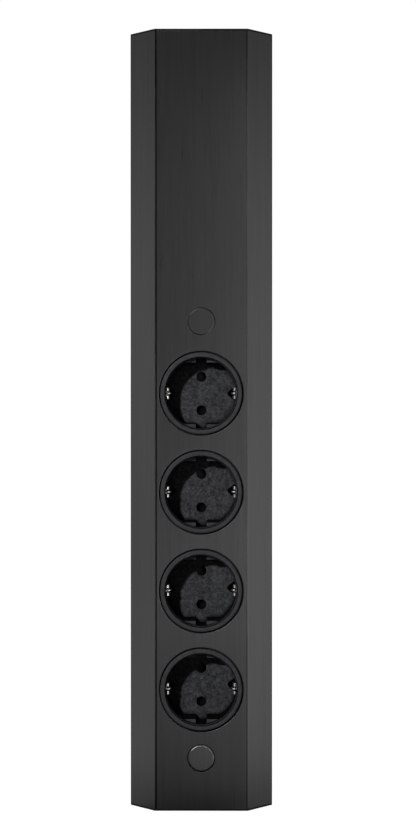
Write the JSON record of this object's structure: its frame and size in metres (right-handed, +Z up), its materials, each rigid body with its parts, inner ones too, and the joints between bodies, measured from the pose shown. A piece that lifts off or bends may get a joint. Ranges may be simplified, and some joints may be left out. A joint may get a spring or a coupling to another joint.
{
  "type": "corner socket tower",
  "caption": "Black aluminium corner column with a row of earthed two-pin sockets in its flat front and covered fixing screws.",
  "frame": {"origin": "middle of the foot's bounding box, on the underside of the lower end cap", "axes": "+Z up the column, the flat front with the sockets faces -Y, the room's corner is at +Y, +X to the right seen from the front"},
  "size_m": [0.08, 0.0532, 0.435],
  "materials": {
    "extrusion": "black anodised, fine lengthwise brush",
    "front_panel": "black anodised, fine lengthwise brush",
    "fixing_cap": "black anodised, brushed",
    "end_cap": "moulded, black",
    "rear_cover": "extruded, black",
    "socket_black": "fine spark-eroded, black",
    "socket_base": "moulded, off-white",
    "shutter": "moulded, black",
    "earth_spring": "nickel-plated strip",
    "contact_brass": "stamped strip",
    "spring_wire": "bright wire",
    "zinc_screw": "zinc-plated",
    "dark_screw": "blackened",
    "bracket_steel": "zinc-plated",
    "spacer_plastic": "moulded, grey",
    "terminal_plastic": "moulded, off-white",
    "grommet_rubber": "moulded",
    "line_insulation": "brown",
    "neutral_insulation": "blue",
    "earth_insulation": "green and yellow"
  },
  "bodies": {
    "tower": {"profile": "extrusion", "front_plate": "front_panel", "rear_cover": "rear_cover", "top_end_cap": "end_cap", "bottom_end_cap": "end_cap", "end_cap_screws": "dark_screw", "socket_screws": "zinc_screw", "fixing_screws": "zinc_screw", "upper_spacer": "spacer_plastic", "lower_spacer": "spacer_plastic", "upper_corner_bracket": "bracket_steel", "lower_corner_bracket": "bracket_steel", "cable_grommet": "grommet_rubber", "terminal_block": "terminal_plastic", "terminal_clamps": "contact_brass", "terminal_screws": "zinc_screw", "terminal_fixing_screw": "zinc_screw", "line_bus_bar": "contact_brass", "neutral_bus_bar": "contact_brass", "earth_bus_bar": "contact_brass", "earth_rivets": "contact_brass", "line_wire": "line_insulation", "neutral_wire": "neutral_insulation", "earth_wire": "earth_insulation", "socket_1_collar": "socket_black", "socket_1_insert": "socket_black", "socket_1_base": "socket_base", "socket_1_earth_strap": "earth_spring", "socket_1_line_contact": "contact_brass", "socket_1_neutral_contact": "contact_brass", "socket_1_shutter_spring": "spring_wire", "socket_2_collar": "socket_black", "socket_2_insert": "socket_black", "socket_2_base": "socket_base", "socket_2_earth_strap": "earth_spring", "socket_2_line_contact": "contact_brass", "socket_2_neutral_contact": "contact_brass", "socket_2_shutter_spring": "spring_wire", "socket_3_collar": "socket_black", "socket_3_insert": "socket_black", "socket_3_base": "socket_base", "socket_3_earth_strap": "earth_spring", "socket_3_line_contact": "contact_brass", "socket_3_neutral_contact": "contact_brass", "socket_3_shutter_spring": "spring_wire", "socket_4_collar": "socket_black", "socket_4_insert": "socket_black", "socket_4_base": "socket_base", "socket_4_earth_strap": "earth_spring", "socket_4_line_contact": "contact_brass", "socket_4_neutral_contact": "contact_brass", "socket_4_shutter_spring": "spring_wire"},
    "socket_1_shutter_rotor": {"socket_1_shutter": "shutter"},
    "socket_2_shutter_rotor": {"socket_2_shutter": "shutter"},
    "socket_3_shutter_rotor": {"socket_3_shutter": "shutter"},
    "socket_4_shutter_rotor": {"socket_4_shutter": "shutter"},
    "upper_cap_body": {"upper_cover_cap": "fixing_cap"},
    "lower_cap_body": {"lower_cover_cap": "fixing_cap"}
  },
  "joints": [
    {"name": "socket_1_shutter_turn", "type": "hinge", "parent": "tower", "child": "socket_1_shutter_rotor", "pos_m": [0, -0.00385, 0.2325], "axis": [0, -1, 0], "range_deg": [0, 38], "stiffness_Nm_per_rad": 0.004, "springref_deg": -20.05, "deforming": ["socket_1_shutter_spring"]},
    {"name": "socket_2_shutter_turn", "type": "hinge", "parent": "tower", "child": "socket_2_shutter_rotor", "pos_m": [0, -0.00385, 0.1775], "axis": [0, -1, 0], "range_deg": [0, 38], "stiffness_Nm_per_rad": 0.004, "springref_deg": -20.05, "deforming": ["socket_2_shutter_spring"]},
    {"name": "socket_3_shutter_turn", "type": "hinge", "parent": "tower", "child": "socket_3_shutter_rotor", "pos_m": [0, -0.00385, 0.1225], "axis": [0, -1, 0], "range_deg": [0, 38], "stiffness_Nm_per_rad": 0.004, "springref_deg": -20.05, "deforming": ["socket_3_shutter_spring"]},
    {"name": "socket_4_shutter_turn", "type": "hinge", "parent": "tower", "child": "socket_4_shutter_rotor", "pos_m": [0, -0.00385, 0.0675], "axis": [0, -1, 0], "range_deg": [0, 38], "stiffness_Nm_per_rad": 0.004, "springref_deg": -20.05, "deforming": ["socket_4_shutter_spring"]},
    {"name": "upper_cap_pull", "type": "slide", "parent": "tower", "child": "upper_cap_body", "axis": [0, -1, 0], "range_m": [0, 0.02]},
    {"name": "lower_cap_pull", "type": "slide", "parent": "tower", "child": "lower_cap_body", "axis": [0, -1, 0], "range_m": [0, 0.02]}
  ]
}
